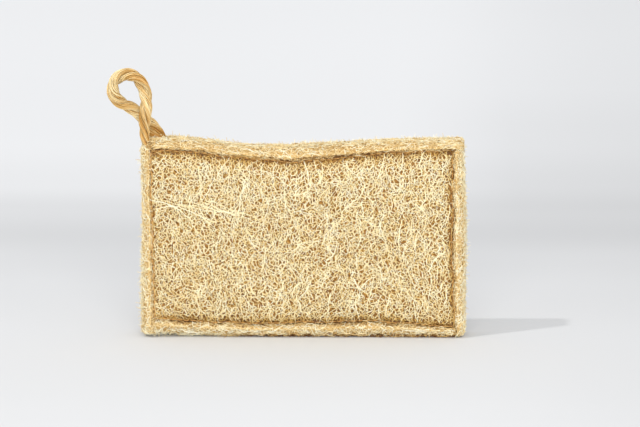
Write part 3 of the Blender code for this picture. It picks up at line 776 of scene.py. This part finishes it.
STRIP_TONES = [
    (0.0, (0.22, 0.10, 0.035)),
    (0.30, (0.66, 0.42, 0.145)),
    (0.58, (0.86, 0.675, 0.35)),
    (0.80, (0.93, 0.84, 0.56)),
    (1.0, (0.96, 0.92, 0.74)),
]
strip_fibre = fibre_material("strip_fibre", STRIP_TONES, 0.66)
strip_core = core_material("strip_core", (0.74, 0.54, 0.25), (0.42, 0.24, 0.07))
ALONG, ACROSS = 0.0, 0.75  # which way most fibres of a strip run, in right angles from its length
STRIPS = [  # each strip's name, how it is laid, length, way of its fibres, its painted light (a tone shift for how the light falls on that side), seed
    ("edge_strip_top", lay_top, TOP_LENGTH, ALONG, -0.12, 300),
    ("edge_strip_right", lay_right, RIGHT_LENGTH, ACROSS, -0.01, 310),
    ("edge_strip_bottom", lay_bottom, BOTTOM_LENGTH, ALONG, 0.03, 320),
    ("edge_strip_left", lay_left, LEFT_LENGTH, ACROSS, -0.06, 330),
]
VEIN_DENSITY = 0.125  # strands to a square millimetre
FUZZ_DENSITY = 0.13
HAIR_DENSITY = 0.29
for strip, lay, length, heading, painted_light_shift, seed in STRIPS:
    rng = np.random.default_rng(seed)

    def rim_core(share, lay=lay, length=length):
        s = share[:, 0] * (length - 1) + 0.5
        t = share[:, 1] * AROUND
        outer = np.column_stack([s, t, np.full_like(s, -1.1)])
        inner = np.column_stack([s, t, np.full_like(s, -2.3)])
        return on_rim(np.where(share[:, 2:] > 0.5, outer, inner), lay)

    core_piece(strip + "_core", rim_core, strip_core, strip, (36, 20, 0))

    mesh_size = (1.60, 1.35) if heading == ACROSS else (2.90, 0.85)
    deep = net_strands(length, AROUND, (2.5, 2.1), 0.43, -0.75, 0.15, 0.02, rng)
    net = net_strands(length, AROUND, mesh_size, 0.48, -0.28, 0.20, 0.22, rng)
    area = length * AROUND
    count = int(area * VEIN_DENSITY)
    starts = rng.random((count, 2)) * (length, AROUND)
    ways = np.where(rng.random(count) < 0.75, heading * np.pi / 2, rng.uniform(0, np.pi, count))
    ways = ways + rng.normal(size=count) * 0.3
    veins = wandering_strands(
        starts, ways, 0.35, rng.uniform(0.6, 1.2, count), 8, -0.1, rng.uniform(0.05, 0.35, count), rng,
    )
    count = int(area * FUZZ_DENSITY)
    starts = rng.random((count, 2)) * (length, AROUND)
    fuzz = wandering_strands(
        starts, rng.uniform(0, np.pi, count), 0.9, rng.uniform(0.25, 0.55, count), 6, 0.0,
        rng.uniform(0.1, 0.6, count), rng,
    )
    count = int(area * HAIR_DENSITY)
    starts = np.column_stack([rng.random(count) * length, rng.uniform(0.08, 0.92, count) * AROUND])
    hairs = standing_hairs(
        starts, rng.uniform(0, 2 * np.pi, count), rng.uniform(0.3, 1.9, count),
        rng.uniform(0.5, 1.5, count) + 2.0 * rng.random(count) ** 9, rng,
    )
    bundles = []
    # the deep layer's lower tone is painted shade
    for path, thin, thick, tone, spread in (
        (deep, 0.22, 0.34, 0.52, 0.14), (net, 0.13, 0.23, 0.74, 0.17), (veins, 0.11, 0.21, 0.78, 0.17),
        (fuzz, 0.06, 0.12, 0.79, 0.18), (hairs, 0.07, 0.115, 0.80, 0.16),
    ):
        path[..., 0] = path[..., 0].clip(0.3, length - 0.3)
        path[..., 1] = path[..., 1].clip(0.1, AROUND - 0.1)
        middle = path[..., :2].mean(axis=1)
        from_groove = np.minimum(middle[:, 1], AROUND - middle[:, 1])
        # painted shade under the lip, where the strip turns down into the groove
        browned_and_shaded = np.exp(-(from_groove / 2.6) ** 2) * (0.58 + 0.30 * waves(middle, 3.5, seed + 2))
        if strip == "edge_strip_left":
            browned_and_shaded = 0.45 * browned_and_shaded
        if strip == "edge_strip_right":
            browned_and_shaded = 0.7 * browned_and_shaded
        if strip == "edge_strip_top":  # darker beside the loop, and painted shade in the pocket under its lip
            browned_and_shaded = browned_and_shaded + 0.18 * np.exp(-(middle[:, 0] / 4) ** 2)
            browned_and_shaded += 0.5 * np.exp(-((middle[:, 0] - 3.5) / 3) ** 2 - (from_groove / 3) ** 2)
        uneven = 0.05 * waves(middle / (2.5, 1), 3, seed + 1) + 0.06 * waves(middle, 1.5, seed + 3)
        tones = tone + painted_light_shift + rng.normal(size=len(path)) * spread + uneven - browned_and_shaded.clip(0)
        laid = on_rim(path, lay)
        radii = rng.uniform(thin, thick, len(path))
        laid[..., 2] = np.maximum(laid[..., 2], radii[:, None])
        if strip == "edge_strip_bottom":  # painted contact shadow, darker where it stands on the floor
            foot = laid.mean(axis=1)
            painted_contact_shade = np.clip((foot[:, 0] + 48) / 25, 0, 1) * (1.0 + 0.5 * waves(foot[:, :1], 2.5, seed + 5))
            tones -= np.exp(-(foot[:, 2] / 1.3) ** 2) * painted_contact_shade
        bundles.append(fibre_tubes(laid, radii, tones))
    fibre_piece(strip + "_fibres", bundles, strip_fibre, strip)

# The hanging loop: a cord of two straw plies twisted together, bent round to a small eye. Its legs cross and
# both go down into the corner of the pad, where the seam holds them. Loose wisps lift off it.
LOOP_ROUTE = [
    (-66.8, -3.4, 79.5), (-68.6, -4.8, 84.5), (-70.5, -5.4, 89.0), (-70.9, -4.8, 93.5),
    (-70.8, -3.9, 98.0), (-70.3, -3.2, 102.6), (-70.2, -2.6, 107.0), (-71.3, -1.7, 111.8),
    (-74.4, -0.7, 116.2), (-78.8, 0.2, 117.7), (-83.0, 0.9, 116.2), (-85.3, 1.4, 112.6),
    (-85.0, 1.9, 108.1), (-81.8, 2.5, 104.5), (-77.8, 3.0, 102.4), (-74.0, 3.3, 99.6),
    (-70.4, 3.2, 96.3), (-67.9, 2.7, 93.2), (-65.6, 2.2, 90.0), (-63.5, 2.0, 87.0), (-61.0, 2.0, 81.0),
]
LOOP_STEPS = 120
LOOP_PITCH = 24  # one full turn of the twist
LOOP_PHASE = math.radians(60)
PLY_HALF_DEPTH = 1.33
PLY_HALF_WIDTH = 2.2
LEG_PRESSED = 0.42  # the legs' thickness in the corner, as a share of the rest
STRAW_TURN = 15  # a straw turns by one radian about its ply in this length
WISPS = 46
STRAWS = [  # number, reach from the ply's middle, thinnest, thickest and tone: the outer ones, then the inner
    (46, 0.94, 0.11, 0.19, 0.56),
    (14, 0.74, 0.34, 0.42, 0.40),
]
STRAW_TONES = [
    (0.0, (0.40, 0.17, 0.025)),
    (0.30, (0.59, 0.35, 0.105)),
    (0.55, (0.70, 0.52, 0.25)),
    (0.80, (0.86, 0.71, 0.40)),
    (1.0, (0.94, 0.83, 0.55)),
]
loop_straw = fibre_material("loop_straw", STRAW_TONES, 0.42)


def loop_line(steps):
    """The loop's centreline, evenly spaced, with its frame and the length up to each point."""
    route = np.array(LOOP_ROUTE)
    ends = np.vstack([2 * route[0] - route[1], route, 2 * route[-1] - route[-2]])
    t = np.linspace(0, 1, 30, endpoint=False)[:, None]
    fine = []
    for a, b, c, d in zip(ends, ends[1:], ends[2:], ends[3:]):
        fine.append((
            b * 2 + (c - a) * t + (a * 2 - b * 5 + c * 4 - d) * t ** 2 + (b * 3 - a - c * 3 + d) * t ** 3
        ) / 2)
    fine = np.vstack(fine + [route[-1:]])
    at = np.concatenate([[0], np.cumsum(np.linalg.norm(np.diff(fine, axis=0), axis=1))])
    even = np.linspace(0, at[-1], steps)
    line = np.column_stack([np.interp(even, at, fine[:, k]) for k in range(3)])
    run = np.gradient(line, axis=0)
    run /= np.linalg.norm(run, axis=1, keepdims=True)
    out = np.array([0, 1, 0]) - run * run[:, 1:2]
    out /= np.linalg.norm(out, axis=1, keepdims=True)
    return line, run, out, np.cross(run, out), even


line, run, out, across, at = loop_line(LOOP_STEPS)
share = np.clip(np.minimum((at - 3) / 17, (at[-1] - at) / 12), 0, 1)
pressed = LEG_PRESSED + (1 - LEG_PRESSED) * share ** 2 * (3 - 2 * share)
twist = LOOP_PHASE - 2 * np.pi * at / LOOP_PITCH
to_other = out * np.cos(twist)[:, None] + across * np.sin(twist)[:, None]
beside = np.cross(run, to_other)
fan = np.clip((at - at[-1] + 24) / 14, 0, 1)[:, None]  # the back leg flattens and spreads out over the corner
leg_tone_and_shade = 0.09 * np.clip((48 - at) / 20, 0, 1) + 0.34 * fan[:, 0]  # the front leg darker low down, and painted shade on the back leg, where the front leg shades it


def spread_out(offset):
    """Presses a strand's offset from the loop's line flat where the back leg fans out."""
    depth = (offset * out).sum(axis=-1, keepdims=True)
    wide = (offset * across).sum(axis=-1, keepdims=True)
    return offset - 0.30 * fan * depth * out + 0.25 * fan * wide * across


for ply, side, seed in (("loop_ply_a", -1, 400), ("loop_ply_b", 1, 410)):
    rng = np.random.default_rng(seed)
    middle = to_other * (side * PLY_HALF_DEPTH * pressed)[:, None]

    def strand(reach, angle):
        offset = (
            middle + to_other * (PLY_HALF_DEPTH * pressed * reach * np.cos(angle))[:, None]
            + beside * (PLY_HALF_WIDTH * pressed * reach * np.sin(angle))[:, None]
        )
        return line + spread_out(offset)

    bundles = []
    for number, reach, thin, thick, tone in STRAWS:
        strands, tones = [], []
        for k in range(number):
            sway = 0.30 * np.sin(at / rng.uniform(4, 11) + rng.uniform(0, 6))
            angle = 2 * np.pi * k / number + at / STRAW_TURN + sway
            wander = 0.06 * np.sin(at / rng.uniform(2, 6) + rng.uniform(0, 6))
            strands.append(strand(reach + wander, angle))
            patches = 0.07 * np.sin(at / rng.uniform(2, 5) + rng.uniform(0, 6))
            # straws that face the other ply are darker: painted shade in the crease between the plies
            tones.append(tone + rng.normal() * 0.12 + patches - 0.20 * np.cos(angle) - leg_tone_and_shade)
        bundles.append(fibre_tubes(np.array(strands), rng.uniform(thin, thick, number), np.array(tones)))
    starts = rng.integers(6, LOOP_STEPS - 24, WISPS)
    wisps = []
    for k in starts:
        angle = rng.uniform(0, 2 * np.pi) + at / STRAW_TURN
        lifted = strand(1.0, angle)
        away = lifted - line - middle
        away /= np.linalg.norm(away, axis=1, keepdims=True)
        steps = np.arange(6)
        risen = rng.uniform(0.02, 0.9) * (steps / 5) ** 2
        wisps.append(lifted[k + steps * 2] + away[k:k + 1] * risen[:, None])
    bundles.append(fibre_tubes(np.array(wisps), rng.uniform(0.04, 0.08, WISPS), np.full(WISPS, 0.75)))
    fibre_piece(ply + "_straws", bundles, loop_straw, ply)
